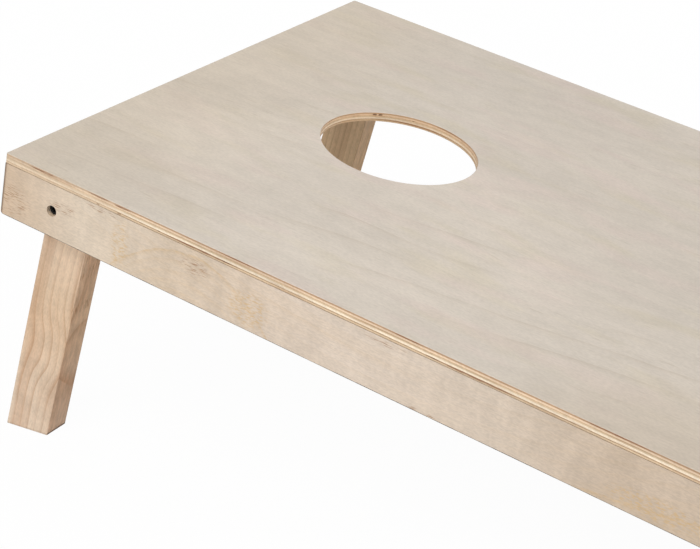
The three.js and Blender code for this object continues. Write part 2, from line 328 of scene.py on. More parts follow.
def dashes(g, grain, spots, shift):
    """Short open pores along the grain, where the wood was torn a little in planing."""
    along, across, _ = g.parts(grain)
    pores = g.band(g.noise(grain, (110, 1250, 1250), 1.0, shift), 0.53, 0.65)
    return g.product(pores, within_any(g, along, across, spots))


def dapples(g, grain, spots, shift):
    """Small ochre dots, where the saw crossed the fibres as they dip under the face."""
    along, across, _ = g.parts(grain)
    dots = g.band(g.noise(grain, (210, 640, 640), 2.0, shift), 0.48, 0.62)
    return g.product(dots, within_any(g, along, across, spots))


def arches(g, grain, curves):
    """Rings cut at a slant show as arches: 1 on each arch's line, and the share of the wood inside them.

    An arch is its middle along the board, the place across it of its feet, its half width and its rise."""
    along, across, _ = g.parts(grain)
    line, inside = 0.0, 0.0
    for middle, foot, half_width, rise in curves:
        share = g.math("DIVIDE", g.math("SUBTRACT", along, middle), half_width)
        height = g.math("MULTIPLY_ADD", g.product(share, share), -rise, foot + rise)
        above = g.math("SUBTRACT", across, g.math("ADD", height, g.sway(grain, (40, 60, 60), 2.5 * MM)))
        under = g.band(above, 0.5 * MM, -1.5 * MM)
        nested = g.math("FRACT", g.math("DIVIDE", above, -ARCH_SPACING))
        ring = g.product(g.math("POWER", g.math("SUBTRACT", 1.0, nested), 3.0), under)
        line = g.math("MAXIMUM", line, g.product(ring, g.band(above, -9 * MM, -6 * MM, 0.25, 1.0)))
        inside = g.math("MAXIMUM", inside, g.band(above, 0.0, -14 * MM))
    return line, inside


# ---- Plywood ----


def growth_lines(g, x, y):
    """The long, wavy lines that a peeled log leaves in its veneer: each fades in and ends sharply."""
    slant = g.math("MULTIPLY_ADD", x, -0.13, y)
    slow = g.sway(g.position, (2.2, 4.0, 1), 45 * MM, 3)
    quick = g.sway(g.position, (16, 34, 1), 4 * MM, 6)
    waved = g.math("ADD", slant, g.math("ADD", slow, quick))
    phase = g.math("FRACT", g.math("DIVIDE", waved, GROWTH_SPACING))
    line = g.product(g.math("POWER", phase, 11.0), g.band(phase, 0.97, 1.0, 1.0, 0.0))
    where = g.band(g.noise(g.position, (5, 12, 1), 2.0, 14), 0.46, 0.64)
    return g.product(line, where, g.band(y, 0.16, -0.12, 0.25, 1.0))


def veneer_tone(g, x, y, grain):
    """The face veneer's soft changes of colour: straw and pink patches, a warm high end and a tan spot."""
    straw = g.band(g.noise(grain, (9, 30, 1), 3.0, 1), 0.50, 0.68)
    pink = g.band(g.noise(grain, (8, 22, 1), 3.0, 9), 0.50, 0.66)
    colour = g.mix(g.product(straw, 0.45), DECK_BASE, DECK_STRAW)
    colour = g.mix(g.product(pink, 0.6), colour, DECK_PINK)
    colour = g.mix(g.band(x, 0.22, 0.0, 0.0, 0.55), colour, DECK_WARM)
    tan = within(g, x, y, (0.74, -0.36, 0.30, 0.22))
    return g.mix(g.product(tan, 0.9), colour, DECK_TAN)


def veneer_shade(g, x, y, grain):
    """How much lighter or darker the veneer is from place to place, from broad clouds down to its grit."""
    broad = g.band(g.noise(grain, (2.6, 6, 1), 1.0, 12), 0.30, 0.70, 0.955, 1.025)
    sanded = g.band(within(g, x, y, (0.26, -0.13, 0.27, 0.20)), 0.0, 1.0, 0.982, 1.052)
    cloud = g.band(g.noise(grain, (34, 60, 1), 4.0, 17), 0.30, 0.70, 0.965, 1.035)
    streaks = g.band(fibres(g, grain), 0.30, 0.70, 0.968, 1.026)
    grit = g.band(g.noise(grain, (260, 520, 1), 3.0, 21), 0.30, 0.70, 0.955, 1.045)
    return g.product(broad, sanded, cloud, streaks, grit)


def veneer_face(g, grain):
    """The sanded face veneer: pale, with soft patches, faint growth lines and a few short streaks."""
    x, y, _ = g.parts(g.position)
    colour = g.shade(veneer_tone(g, x, y, grain), veneer_shade(g, x, y, grain))
    tick = g.band(g.noise(grain, (75, 560, 1), 2.0, 27), 0.60, 0.74)
    colour = g.mix(g.product(tick, 0.16), colour, WISP)
    colour = g.mix(g.product(growth_lines(g, x, y), 0.38), colour, GROWTH_LINE)
    wisp = g.band(g.noise(grain, (34, 260, 1), 2.0, 4), 0.60, 0.76)
    where = g.band(g.noise(grain, (8, 20, 1), 2.0, 7), 0.50, 0.66)
    return g.mix(g.product(wisp, where, 0.28), colour, WISP)


def ply_colours(g, x, depth):
    """The colour of each ply by its depth. Sanding blurs them at the deck's high end."""
    soft = 0.014
    stops = [(0.0, PLIES[0][1])]
    for (edge, colour), (_, below) in zip(PLIES, PLIES[1:]):
        stops += [(edge - soft, colour), (edge + soft, below)]
    return g.mix(g.band(x, 0.135, 0.105, 0.0, 0.6), g.ramp(depth, stops), SANDED_PLY)


def saw_marks(g):
    """How much lighter or darker the sawn edge is, from the saw's slanting strokes and broken fibres."""
    x, y, z = g.parts(g.position)
    stroke = g.math("ADD", g.math("ADD", x, y), g.product(z, 0.8))
    saw = g.band(g.noise(g.vector(stroke, 0.0, z), (430, 1, 120), 1.0), 0.34, 0.66, 0.95, 1.04)
    rough = g.band(g.noise(g.position, (240, 240, 1300), 3.0), 0.3, 0.7, 0.93, 1.06)
    broad = g.band(g.noise(g.position, (11, 11, 300), 2.0), 0.35, 0.65, 0.88, 1.05)
    return g.product(saw, rough, broad)


def hole_wall_tint_and_light(g, x, y, colour):
    """The hole's wall is a little browner than the outer edges, and has painted light on its high side, which the
    lamps leave dim.
    """
    off = g.math("SUBTRACT", x, HOLE_X)
    reach = g.math("SQRT", g.math("ADD", g.product(off, off), g.product(y, y)))
    is_wall = g.band(reach, HOLE_RADIUS + 5 * MM, HOLE_RADIUS + 2 * MM)
    colour = g.mix(g.product(is_wall, 0.24), colour, ROUTED_PLY)
    # painted light: the wall is lightened towards its high side
    painted_light_peak = g.math("MULTIPLY_ADD", is_wall, 0.24, 1.0)
    return g.shade(colour, g.band(off, -0.5 * HOLE_RADIUS, -HOLE_RADIUS, 1.0, painted_light_peak))


def ply_edge(g):
    """The stacked plies seen on a sawn edge, with stains, torn reddish streaks and small voids."""
    x, y, z = g.parts(g.position)
    waver = g.sway(g.position, (9, 9, 0), 0.022)
    depth = g.math("ADD", g.math("DIVIDE", z, -DECK_THICKNESS), waver)
    colour = g.shade(ply_colours(g, x, depth), saw_marks(g))
    stain = g.band(g.noise(g.position, (24, 24, 600), 2.0, 3), 0.54, 0.70)
    colour = g.mix(g.product(stain, 0.35), colour, PLY_STAIN)
    torn = g.band(g.noise(g.position, (130, 130, 1600), 2.0, 8), 0.30, 0.58, 0.35, 1.0)
    streak = within_any(g, x, depth, EDGE_STREAKS)
    colour = g.mix(g.product(streak, torn, 0.9), colour, TORN_PLY)
    # painted shade darkens the voids by their depth
    return g.mix(g.attribute("void"), hole_wall_tint_and_light(g, x, y, colour), VOID_SHADE_COLOUR)


def plywood(name):
    g = Graph(name)
    x, y, z = g.parts(g.position)
    grain = g.vector(x, g.math("ADD", y, g.sway(g.position, (3.0, 4.0, 1.0), 20 * MM)), z)
    face = veneer_face(g, grain)
    is_face = g.band(z, -0.062 * DECK_THICKNESS, -0.036 * DECK_THICKNESS)
    is_back = g.band(z, -0.985 * DECK_THICKNESS, -0.995 * DECK_THICKNESS)
    colour = g.mix(is_face, g.mix(is_back, ply_edge(g), g.shade(face, 0.92)), face)
    roughness = g.band(g.noise(grain, (9, 90, 90)), 0.3, 0.7, 0.50, 0.62)
    return g.finish(colour, roughness, fibres(g, grain), 0.03 * MM)


# ---- Pine ----


def bulged(g, along, across, centre, reach, lift):
    """The extra distance that bends the rings round a place where a branch once grew."""
    a = g.math("DIVIDE", g.math("SUBTRACT", along, centre[0]), reach[0])
    b = g.math("DIVIDE", g.math("SUBTRACT", across, centre[1]), reach[1])
    square = g.math("ADD", g.product(a, a), g.product(b, b))
    return g.math("DIVIDE", lift, g.math("ADD", 1.0, g.product(square, square)))


def bowed(g, along, centre, half_length, rise):
    """The extra distance that makes the rings sweep up towards both ends, as in a cathedral figure."""
    share = g.math("DIVIDE", g.math("SUBTRACT", along, centre), half_length)
    return g.product(share, share, rise)


class Pine:
    """A sawn pine board's look. Its places are along, across and through the board, in metres."""

    axes = (0, 1, 2)  # which of x, y, z is along, across and through it
    heart = (-0.03, 0.05)  # the tree's heart, across and through
    ring = 8 * MM
    early = srgb(224, 208, 186)
    late = srgb(200, 168, 128)
    arch = srgb(206, 171, 118)
    tones_and_light = None  # the early wood's colour at places along it, where it changes, with painted light and shade mixed in
    contrast = 0.4
    sharp = 3.0  # how narrow the dark late wood is
    bow = None  # what bowed() takes
    bulge = None  # what bulged() takes
    curves = ()  # its arches
    flecks = ()  # the spots with open pores
    dapples = ()  # the spots with ochre dots
    pale_from, pale_to = 0.0, 1.0  # where along it the narrow faces' yellowness and painted light start and stop changing
    pale = (1.0, 1.0)  # how much painted light brightens them at those two places, against the wide faces
    edge_shade_strength = 0.3  # how much painted shade darkens its rounded edges
    outside = 1.0  # which way through it is the outside of the object
    end_plane = None  # the plane of the end it darkens towards: the factors of along and across, and the offset
    end_darkness = (0.65, 0.8)  # how much darker its wide and narrow faces get there
    shift = 0.0  # moves its noise, so that no two boards are alike


def heart_distance(g, look, grain):
    """How far a place is from the tree's heart. The rings wander a little along the board."""
    along, across, through = g.parts(grain)
    u = g.math("SUBTRACT", across, look.heart[0])
    u = g.math("ADD", u, g.sway(grain, (2.6, 7, 7), 10 * MM, look.shift))
    v = g.math("SUBTRACT", through, look.heart[1])
    if look.bow is not None:
        u = g.math("SUBTRACT", u, bowed(g, along, *look.bow))
    radius = g.math("SQRT", g.math("ADD", g.product(u, u), g.product(v, v)))
    radius = g.math("ADD", radius, g.sway(grain, (12, 45, 45), 1 * MM, look.shift + 2))
    if look.bulge is not None:
        radius = g.math("ADD", radius, bulged(g, along, across, *look.bulge))
    return radius


def early_wood(g, look, along):
    # the tones may hold painted light and shade as well as the wood's own colour
    if look.tones_and_light is None:
        return look.early
    start, end = look.tones_and_light[0][0], look.tones_and_light[-1][0]
    share = g.math("DIVIDE", g.math("SUBTRACT", along, start), end - start)
    return g.ramp(share, [((place - start) / (end - start), tone) for place, tone in look.tones_and_light])


def ringed(g, look, grain, count):
    """The wood with its growth rings, which differ in strength and fade in and out along the board."""
    along = g.parts(grain)[0]
    phase = g.math("FRACT", count)
    late_wood = g.product(g.math("POWER", phase, look.sharp), g.band(phase, 0.92, 1.0, 1.0, 0.0))
    uneven = g.band(g.noise(g.vector(count, 0.0, 0.0), (0.8, 1, 1), 1.0, look.shift), 0.3, 0.7, 0.35, 1.0)
    strength = g.band(g.noise(grain, (7, 20, 20), 1.0, look.shift + 8), 0.3, 0.65, 0.45, 1.0)
    rings = g.product(late_wood, uneven, strength, look.contrast)
    colour = g.mix(rings, early_wood(g, look, along), look.late)
    warm = g.band(g.noise(g.vector(count, along, 0.0), (0.45, 6, 1), 2.0, look.shift + 4), 0.45, 0.70)
    return g.mix(g.product(warm, look.contrast, 0.30), colour, g.shade(look.late, 1.12))


def figured(g, look, grain, colour, pores):
    """Adds the arches, the soft mottle and streaks, the ochre dots and the open pores."""
    line, inside = arches(g, grain, look.curves)
    colour = g.mix(g.product(inside, 0.06), colour, look.late)
    ripple = g.band(g.noise(grain, (240, 900, 900), 2.0, look.shift), 0.3, 0.6, 0.3, 1.0)
    colour = g.mix(g.product(line, ripple, 0.75), colour, look.arch)
    mottle = g.band(g.noise(grain, (75, 30, 30), 4.0, look.shift + 6), 0.3, 0.7, 0.945, 1.045)
    streak = g.band(fibres(g, grain, look.shift), 0.28, 0.72, 0.955, 1.035)
    speckle = g.band(g.noise(grain, (300, 900, 900), 3.0, look.shift + 1), 0.32, 0.68, 0.925, 1.050)
    colour = g.shade(colour, g.product(mottle, streak, speckle))
    dots = dapples(g, grain, look.dapples, look.shift + 5)
    colour = g.mix(g.product(dots, 0.6), colour, look.arch)
    return g.mix(g.product(pores, 0.70), colour, OPEN_PORE)


def narrow_face(g, look, grain, colour):
    """The wood on its narrow faces: yellower and more blotched than on its wide ones, and often brightened by
    painted light where the lamps leave them dim.
    """
    along = g.parts(grain)[0]
    blotch = g.band(g.noise(grain, (70, 330, 330), 3.0, look.shift + 9), 0.3, 0.7, 0.87, 1.10)
    yellow = g.band(along, look.pale_from, look.pale_to, 0.35, 0.15)
    # painted light brightens the narrow faces
    narrow_painted_light = g.band(along, look.pale_from, look.pale_to, *look.pale)
    return g.shade(g.mix(yellow, colour, look.late), g.product(blotch, narrow_painted_light))


def end_grain(g, look, count):
    phase = g.math("FRACT", count)
    return g.mix(g.band(phase, 0.3, 0.95, 0.25, 0.9), g.shade(look.early, 0.8), g.shade(look.late, 0.72))


def painted_edge_shade(g, look, grain):
    """Painted shade on the rounded edges, mostly those on the outside of the object: it darkens them like the
    shade along an arris.
    """
    outward = g.math("MULTIPLY", g.parts(g.facing)[look.axes[2]], look.outside)
    edge = g.product(g.attribute("arris"), g.band(outward, 0.0, 0.3, 0.3, 1.0))
    uneven = g.band(g.noise(grain, (45, 60, 60), 2.0), 0.3, 0.65, 0.45, 1.0)
    return g.product(edge, uneven, look.edge_shade_strength)


def darker_near_end(g, look, grain, is_narrow, is_end):
    """How much darker the wood's sides get close to the plane of one of its ends: a rail's high end, a leg's foot.
    """
    along, across, _ = g.parts(grain)
    slope_along, slope_across, offset = look.end_plane
    distance = g.math("MULTIPLY_ADD", across, slope_across, offset)
    distance = g.math("MULTIPLY_ADD", along, slope_along, distance)
    strength = g.product(g.band(is_narrow, 0.0, 1.0, *look.end_darkness), g.band(is_end, 0.0, 1.0, 1.0, 0.1))
    return g.product(g.band(distance, 3.0 * MM, 1.5 * MM), strength)


def pine(name, look):
    g = Graph(name)
    own = g.parts(g.position)
    grain = g.vector(*(own[axis] for axis in look.axes))
    is_end, is_narrow = (g.looks_along(axis) for axis in look.axes[:2])
    count = g.math("DIVIDE", heart_distance(g, look, grain), look.ring)
    pores = dashes(g, grain, look.flecks, look.shift)
    colour = figured(g, look, grain, ringed(g, look, grain, count), pores)
    colour = g.mix(is_narrow, colour, narrow_face(g, look, grain, colour))
    colour = g.mix(g.product(is_end, 0.75), colour, end_grain(g, look, count))
    # painted shade darkens the rounded edges
    colour = g.mix(painted_edge_shade(g, look, grain), colour, EDGE_SHADE_COLOUR)
    # darker close to the end plane
    if look.end_plane is not None:
        colour = g.mix(darker_near_end(g, look, grain, is_narrow, is_end), colour, END_DARK_COLOUR)
    height = g.math("SUBTRACT", fibres(g, grain, look.shift), g.product(pores, 1.5))
    roughness = g.band(g.noise(grain, (14, 120, 120), 2.0, look.shift), 0.3, 0.7, 0.52, 0.66)
    return g.finish(colour, roughness, height, 0.05 * MM)


# ---- Metal and nylon ----


def metal(name, bright, dull, metallic, low, high):
    """Plated steel, mottled by its plating, with fine marks round its axis where tools shaped it."""
    g = Graph(name)
    x, y, z = g.parts(g.position)
    radius = g.math("SQRT", g.math("ADD", g.product(x, x), g.product(y, y)))
    turned = g.vector(radius, z, 0.0)
    cloud = g.noise(g.position, (600, 600, 600), 3.0)
    marks = g.noise(turned, (9000, 9000, 1), 1.0)
    colour = g.mix(g.band(cloud, 0.35, 0.65), dull, bright)
    g.shader.inputs["Metallic"].default_value = metallic
    roughness = g.band(g.math("ADD", g.product(cloud, 0.6), g.product(marks, 0.4)), 0.3, 0.7, low, high)
    return g.finish(colour, roughness, marks, 0.004 * MM)


def nylon(name):
    g = Graph(name)
    cloud = g.noise(g.position, (900, 900, 900), 2.0)
    colour = g.mix(g.band(cloud, 0.3, 0.7), srgb(196, 204, 210), srgb(222, 226, 228))
    g.shader.inputs["Subsurface Weight"].default_value = 0.15
    g.shader.inputs["Subsurface Scale"].default_value = 0.5 * MM
    return g.finish(colour, g.band(cloud, 0.3, 0.7, 0.34, 0.46), cloud, 0.01 * MM)


# ---- Pieces ----

SMOOTH_UNDER = math.radians(35)  # faces that meet at less than this are shaded as one curve
EDGE_OVER = math.radians(30)  # CAD faces that meet at more than this have an edge between them
FLAT_UNDER = math.radians(0.5)  # CAD faces that meet at less than this are one flat face
SAME_POINT = 0.002 * MM


def placed(name, bm, matrix, body, node, materials):
    """Makes a bmesh, drawn in its own frame, into a piece that stands for a CAD node."""
    bmesh.ops.recalc_face_normals(bm, faces=bm.faces)
    mesh = bpy.data.meshes.new(name)
    bm.to_mesh(mesh)
    bm.free()
    mesh.attributes.new("place", "FLOAT_VECTOR", "POINT")
    mesh.attributes.new("facing", "FLOAT_VECTOR", "FACE")
    for vertex, stored in zip(mesh.vertices, mesh.attributes["place"].data):
        stored.vector = vertex.co
    for face, stored in zip(mesh.polygons, mesh.attributes["facing"].data):
        stored.vector = face.normal
    mesh.transform(matrix)
    mesh.shade_smooth()
    mesh.set_sharp_from_angle(angle=SMOOTH_UNDER)
    for material in materials:
        mesh.materials.append(material)
    piece = bpy.data.objects.new(name, mesh)
    bpy.context.scene.collection.objects.link(piece)
    flatten_faces(piece)
    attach(piece, body)
    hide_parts(node)


def flatten_faces(piece):
    """Weighs the normals by face area, so that flat faces stay flat beside their rounded edges."""
    modifier = piece.modifiers.new("weighted", "WEIGHTED_NORMAL")
    modifier.keep_sharp = True
    evaluated = piece.evaluated_get(bpy.context.evaluated_depsgraph_get())
    mesh = bpy.data.meshes.new_from_object(evaluated)
    piece.modifiers.clear()
    mesh.name = piece.name
    piece.data = mesh


def eased_edges(node, matrix, width, is_outline):
    """The CAD node's shape with its outer edges rounded over, as sanded wood has them."""
    bm = bmesh.new()
    bm.from_mesh(frame["nodes"][node].data)
    arris = bm.faces.layers.float.new("arris")
    bmesh.ops.transform(bm, matrix=matrix.inverted(), verts=bm.verts)
    bmesh.ops.remove_doubles(bm, verts=bm.verts, dist=SAME_POINT)
    bmesh.ops.dissolve_limit(bm, angle_limit=FLAT_UNDER, verts=bm.verts, edges=bm.edges)
    sharp = [
        edge
        for edge in bm.edges
        if edge.calc_face_angle(0) > EDGE_OVER and is_outline(*(v.co for v in edge.verts))
    ]
    rounded = bmesh.ops.bevel(bm, geom=sharp, offset=width, segments=3, profile=0.5, affect="EDGES")
    for face in rounded["faces"]:
        face[arris] = 1.0
    return bm


def rail_outline(node):
    """A test for a rail's outer edges. It leaves out drilled holes, and edges that butt against a face."""
    low, high = box_in(node, BOARD)
    corner = 3.2 * MM
    near = 0.02 * MM

    def walls_at(v):
        return sum(min(abs(v[i] - low[i]), abs(v[i] - high[i])) < near for i in range(3))

    def test(p, q):
        walls = (walls_at(p), walls_at(q))
        at_corner = p.z < low.z + corner and min(p.x - low.x, high.x - p.x) < corner
        under_deck = min(p.z, q.z) > high.z - near
        butted = node in CROSS_MEMBERS and abs(p.y + q.y) > 2 * (high.y - near)
        is_outer = min(walls) >= 2 or (min(walls) == 1 and at_corner)
        return is_outer and not under_deck and not butted

    return test


RAIL_EASE = 0.95 * MM
LEG_EASE = 0.8 * MM

# The side rails' early wood, from their high end down. It is darker past the middle partly in its own tone, partly
# as painted shade for the light falling off along the rails.
RAIL_TONES_AND_SHADE = (
    (0.00, srgb(205, 181, 156)),
    (0.09, srgb(219, 203, 184)),
    (0.18, srgb(212, 194, 174)),
    (0.27, srgb(215, 198, 181)),
    (0.37, srgb(219, 203, 187)),
    (0.49, srgb(211, 195, 178)),
    (0.59, srgb(200, 181, 161)),
    (0.91, srgb(210, 193, 175)),
)


def rail_look(index, low, high):
    """A side rail's look. The right one's arches are moved along it, so that the two aren't alike."""
    moved = 0.09 * index
    outer = high.y if high.y > 0 else low.y
    look = Pine()
    look.axes = (0, 2, 1)
    look.heart = (low.z - 0.035, 0.9 * outer)
    look.ring = 9 * MM
    look.early = srgb(216, 200, 182)
    look.late = srgb(203, 175, 137)
    look.tones_and_light = RAIL_TONES_AND_SHADE
    look.contrast = 0.30
    look.bow = (0.38, 0.26, 0.045)
    look.curves = (
        (0.203 + moved, -0.060, 0.084, 0.045),
        (0.800 - moved, -0.062, 0.250, 0.028),
    )
    look.flecks = (
        (0.010, -0.042, 0.026, 0.018),
        (0.066, -0.028, 0.018, 0.007),
        (0.108, -0.013, 0.022, 0.003),
        (0.205 + moved, -0.025, 0.020, 0.009),
        (0.390, -0.014, 0.024, 0.003),
        (0.432, -0.058, 0.022, 0.002),
    )
    look.dapples = (
        (0.129, -0.036, 0.011, 0.027),
        (0.262 + moved, -0.040, 0.024, 0.020),
        (0.630, -0.046, 0.050, 0.012),
    )
    # darker close to its high end
    look.end_plane = (1.0, 0.0, 0.0)
    # painted shade on its rounded edges
    look.edge_shade_strength = 0.95
    look.outside = math.copysign(1.0, outer)
    look.shift = 11.0 + 40 * index
    return look


def make_side_rails():
    for index, side in enumerate(SIDES):
        node = f"{side}_side_rail"
        look = rail_look(index, *box_in(node, BOARD))
        bm = eased_edges(node, BOARD, RAIL_EASE, rail_outline(node))
        material = pine(f"{side}_side_rail_pine", look)
        placed(f"{side}_side_rail_wood", bm, BOARD, "board", node, [material])


def make_cross_members():
    for index, node in enumerate(CROSS_MEMBERS):
        low, _ = box_in(node, BOARD)
        look = Pine()
        look.axes = (1, 2, 0)
        look.heart = (low.z - 0.030, low.x - 0.020)
        look.ring = 7 * MM
        look.early = srgb(213, 196, 174)
        look.late = srgb(200, 170, 131)
        look.contrast = 0.6
        look.curves = ((0.10 - 0.09 * index, -0.064, 0.12, 0.045),)
        look.flecks = ((-0.16 + 0.14 * index, -0.030, 0.03, 0.010),)
        look.shift = 23.0 + 7 * index
        bm = eased_edges(node, BOARD, RAIL_EASE, rail_outline(node))
        placed(f"{node}_wood", bm, BOARD, "board", node, [pine(f"{node}_pine", look)])


def left_leg_look():
    """The left leg has a swelling grain where a branch once grew."""
    look = Pine()
    look.heart = (-0.085, 0.012)
    look.ring = 7.5 * MM
    look.late = srgb(164, 112, 68)
    look.sharp = 3.6
    # its tones lighten near the top, partly as painted light against the shade under the rail
    look.tones_and_light = (
        (-0.258, srgb(224, 203, 181)),
        (-0.197, srgb(220, 196, 171)),
        (-0.164, srgb(222, 195, 167)),
        (-0.130, srgb(215, 186, 156)),
        (-0.100, srgb(217, 190, 161)),
        (-0.055, srgb(235, 208, 180)),
        (0.020, srgb(218, 193, 167)),
    )
    look.bulge = ((-0.160, 0.014), (0.034, 0.030), -0.011)
    look.flecks = ((-0.107, 0.024, 0.006, 0.004), (-0.062, 0.024, 0.020, 0.003))
    # painted light brightens its narrow face, more towards the top
    look.pale_from, look.pale_to = -0.175, -0.085
    look.pale = (1.18, 1.25)
    look.shift = 31.0
    return look


def right_leg_look():
    """The right leg is straight and browner: partly its own wood, partly painted shade for the deck's shadow over
    it.
    """
    look = Pine()
    look.heart = (-0.120, 0.010)
    look.ring = 6.5 * MM
    look.early = srgb(218, 186, 147)
    look.late = srgb(158, 119, 82)
    look.sharp = 4.0
    # painted light brightens its narrow face, which is under the deck
    look.pale_from, look.pale_to = -0.1, 0.0
    look.pale = (1.27, 1.27)
    look.shift = 40.0
    return look


def leg_look(side):
    look = left_leg_look() if side == "left" else right_leg_look()
    look.axes = (2, 0, 1)
    look.contrast = 0.95
    # painted shade on its rounded edges
    look.edge_shade_strength = 0.25
    to_height = leg_frame(side)[2]  # the row that gives a point's height above the floor
    # darker close to its foot
    look.end_plane = (to_height[2], to_height[0], to_height[3])
    look.end_darkness = (0.15, 0.9)
    return look


def make_legs():
    bolt_hole = 6 * MM
    for side in SIDES:
        node = f"{side}_leg"
        matrix = leg_frame(side)
        bm = eased_edges(node, matrix, LEG_EASE, lambda p, _: math.hypot(p.x, p.z) > bolt_hole)
        material = pine(f"{side}_leg_pine", leg_look(side))
        placed(f"{side}_leg_wood", bm, matrix, f"{side}_leg", node, [material])


# ---- The deck ----

DECK_EASE = 0.7 * MM
DECK_CORNER = 2.0 * MM
GLUE_GROOVE = 0.1 * MM
BACK_CHAMFER = 0.15 * MM
EDGE_SPACING = 25 * MM
HOLE_SPACING = 2.5 * MM
CLOSEST = 0.05 * MM
# how much painted shade darkens a void at its deepest
VOID_SHADE = 0.8
FACE_PLY, BACK_PLY = 0, len(PLIES) - 1
# Each void: its middle's distance round the edge, its ply, its half length and its depth, in millimetres.
EDGE_VOIDS = (
    (100, 6, 1.6, 0.7),
    (122.5, 6, 2.2, 0.8),
    (164, 5, 1.8, 0.6),
    (232, 5, 5, 0.5),
    (427, 5, 6, 0.5),
    (700, 3, 4, 0.8),
    (960, 1, 5, 0.8),
    (1400, 3, 5, 0.8),
    (1690, 1, 3, 0.7),
    (2050, 3, 6, 0.8),
    (2430, 1, 4, 0.8),
    (2760, 3, 4, 0.7),
    (3200, 3, 5, 0.8),
    (3480, 1, 4, 0.7),
)
HOLE_VOIDS = (
    (176.9, 1, 2.4, 0.8),
    (182.8, 1, 2.6, 0.8),
    (143.5, 2, 1.6, 0.3),
    (305, 3, 3, 0.7),
    (420, 1, 3, 0.6),
)


def wall_profile():
    """The deck's wall from its face down, as depth, inset and ply, with a groove under most plies."""
    turns = [step * math.pi / 8 for step in range(5)]
    profile = [(DECK_EASE * (1 - math.cos(a)), DECK_EASE * (1 - math.sin(a)), FACE_PLY) for a in turns]
    for ply, (share, _) in enumerate(PLIES[:-2]):
        depth = share * DECK_THICKNESS
        profile.append(((profile[-1][0] + depth) / 2, 0, ply))
        profile.append((depth - GLUE_GROOVE, 0, ply))
        profile.append((depth, GLUE_GROOVE, ply))
        profile.append((depth + GLUE_GROOVE, 0, ply + 1))
    profile.append((DECK_THICKNESS - BACK_CHAMFER, 0, BACK_PLY))
    profile.append((DECK_THICKNESS, BACK_CHAMFER, BACK_PLY))
    return profile


def deck_outline(distance):
    """The point and the outward direction at a distance round the deck, from the start of its left edge."""
    half = DECK_WIDTH / 2 - DECK_CORNER
    ends = (DECK_CORNER, DECK_LENGTH - DECK_CORNER)
    centres = [Vector(p) for p in ((ends[0], -half), (ends[1], -half), (ends[1], half), (ends[0], half))]
    quarter = DECK_CORNER * math.pi / 2
    for index in range(4):
        start, end = centres[index], centres[(index + 1) % 4]
        onward = (end - start).normalized()
        outward = Vector((onward.y, -onward.x))
        straight = (end - start).length
        if distance <= straight:
            return start + onward * distance + outward * DECK_CORNER, outward
        distance -= straight
        if distance <= quarter:
            turn = distance / DECK_CORNER
            away = outward * math.cos(turn) + onward * math.sin(turn)
            return end + away * DECK_CORNER, away
        distance -= quarter
    return deck_outline(0)


def hole_outline(distance):
    angle = distance / HOLE_RADIUS
    away = Vector((math.cos(angle), math.sin(angle)))
    return Vector((HOLE_X, 0)) + away * HOLE_RADIUS, -away


def stations(around, marks, spacing, voids):
    """The distances round a loop to put points at: evenly between its marks, and closely at each void."""
    found = set()
    for start, end in zip(marks, marks[1:] + [around]):
        count = math.ceil((end - start) / spacing)
        found |= {start + (end - start) * step / count for step in range(count)}
    for middle, _, half, _ in voids:
        found |= {(middle + half * step / 4) * MM for step in range(-4, 5)}
    ordered = sorted(found)
    return [d for d, following in zip(ordered, ordered[1:] + [around]) if following - d > CLOSEST]


def deck_marks():
    """Where the deck's straight edges end, and four steps round each of its corners."""
    marks, distance = [0.0], 0.0
    quarter = DECK_CORNER * math.pi / 2
    for length in (DECK_LENGTH, DECK_WIDTH, DECK_LENGTH, DECK_WIDTH):
        distance += length - 2 * DECK_CORNER
        marks += [distance + quarter * step / 4 for step in range(5)]
        distance += quarter
    return marks[:-1], distance


def void_share(distance, ply, voids):
    """How deep a void is at a place, from 0 outside it to 1 at its middle, and its full depth."""
    for middle, void_ply, half, depth in voids:
        reach = abs(distance / MM - middle) / half
        if ply == void_ply and reach < 1:
            return math.sqrt(1 - reach * reach), depth * MM
    return 0.0, 0.0


def deck_wall(bm, void_shade_layer, outline, distances, voids):
    """Adds a wall round a loop, and returns its top and bottom rings of edges."""
    rings = []
    for depth, inset, ply in wall_profile():
        ring = []
        for distance in distances:
            place, outward = outline(distance)
            share, void_depth = void_share(distance, ply, voids)
            spot = place - outward * (inset + share * void_depth)
            vert = bm.verts.new((spot.x, spot.y, -depth))
            # painted shade, darkest where the void is deepest
            vert[void_shade_layer] = VOID_SHADE * share
            ring.append(vert)
        rings.append(ring)
    for upper, lower in zip(rings, rings[1:]):
        for i in range(len(distances)):
            bm.faces.new((upper[i - 1], upper[i], lower[i], lower[i - 1]))
    ends = (rings[0], rings[-1])
    return [[bm.edges.get((ring[i - 1], ring[i])) for i in range(len(ring))] for ring in ends]


def make_deck():
    bm = bmesh.new()
    void_shade_layer = bm.verts.layers.float.new("void")
    marks, around = deck_marks()
    edge_stations = stations(around, marks, EDGE_SPACING, EDGE_VOIDS)
    outer = deck_wall(bm, void_shade_layer, deck_outline, edge_stations, EDGE_VOIDS)
    hole_stations = stations(2 * math.pi * HOLE_RADIUS, [0.0], HOLE_SPACING, HOLE_VOIDS)
    inner = deck_wall(bm, void_shade_layer, hole_outline, hole_stations, HOLE_VOIDS)
    for ring, hole_ring in zip(outer, inner):
        bmesh.ops.triangle_fill(bm, edges=ring + hole_ring, use_beauty=True)
    placed("deck_plywood", bm, BOARD, "board", "deck", [plywood("sanded_plywood")])


# ---- Turned hardware ----

TURNED_STEPS = 48  # the points round a bolt, washer or nut
SCREW_STEPS = 20
NUT_INSERT_STRIPS = 4  # the nut's last strips of faces, which are nylon


def polygon(flats, sides):
    """The radius, at an angle, of an even polygon that is flats wide."""
    part = 2 * math.pi / sides
    return lambda angle: flats / 2 / math.cos((angle % part) - part / 2)


